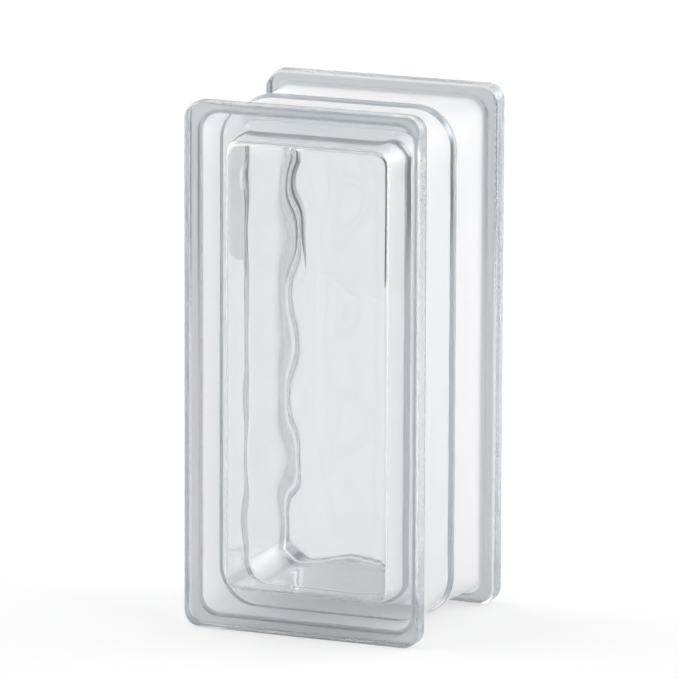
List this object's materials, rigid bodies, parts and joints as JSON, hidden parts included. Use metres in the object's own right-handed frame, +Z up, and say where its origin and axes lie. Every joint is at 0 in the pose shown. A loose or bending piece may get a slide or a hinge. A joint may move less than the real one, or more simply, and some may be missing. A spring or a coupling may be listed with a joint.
{
  "type": "glass block",
  "caption": "Hollow clear glass block of half width with flat rimmed faces, a seam bead at mid depth and wavy inner faces, standing upright.",
  "frame": {"origin": "middle of the base, on the surface that the two rims stand on", "axes": "+X across the block's width, +Y through it from the front face to the back face, +Z up along its height"},
  "size_m": [0.09, 0.08, 0.19],
  "materials": {
    "clear_glass": "clear pressed glass, fire-polished, with a very faint cool tint"
  },
  "bodies": {
    "root": {"glass_block": "clear_glass"}
  },
  "joints": []
}
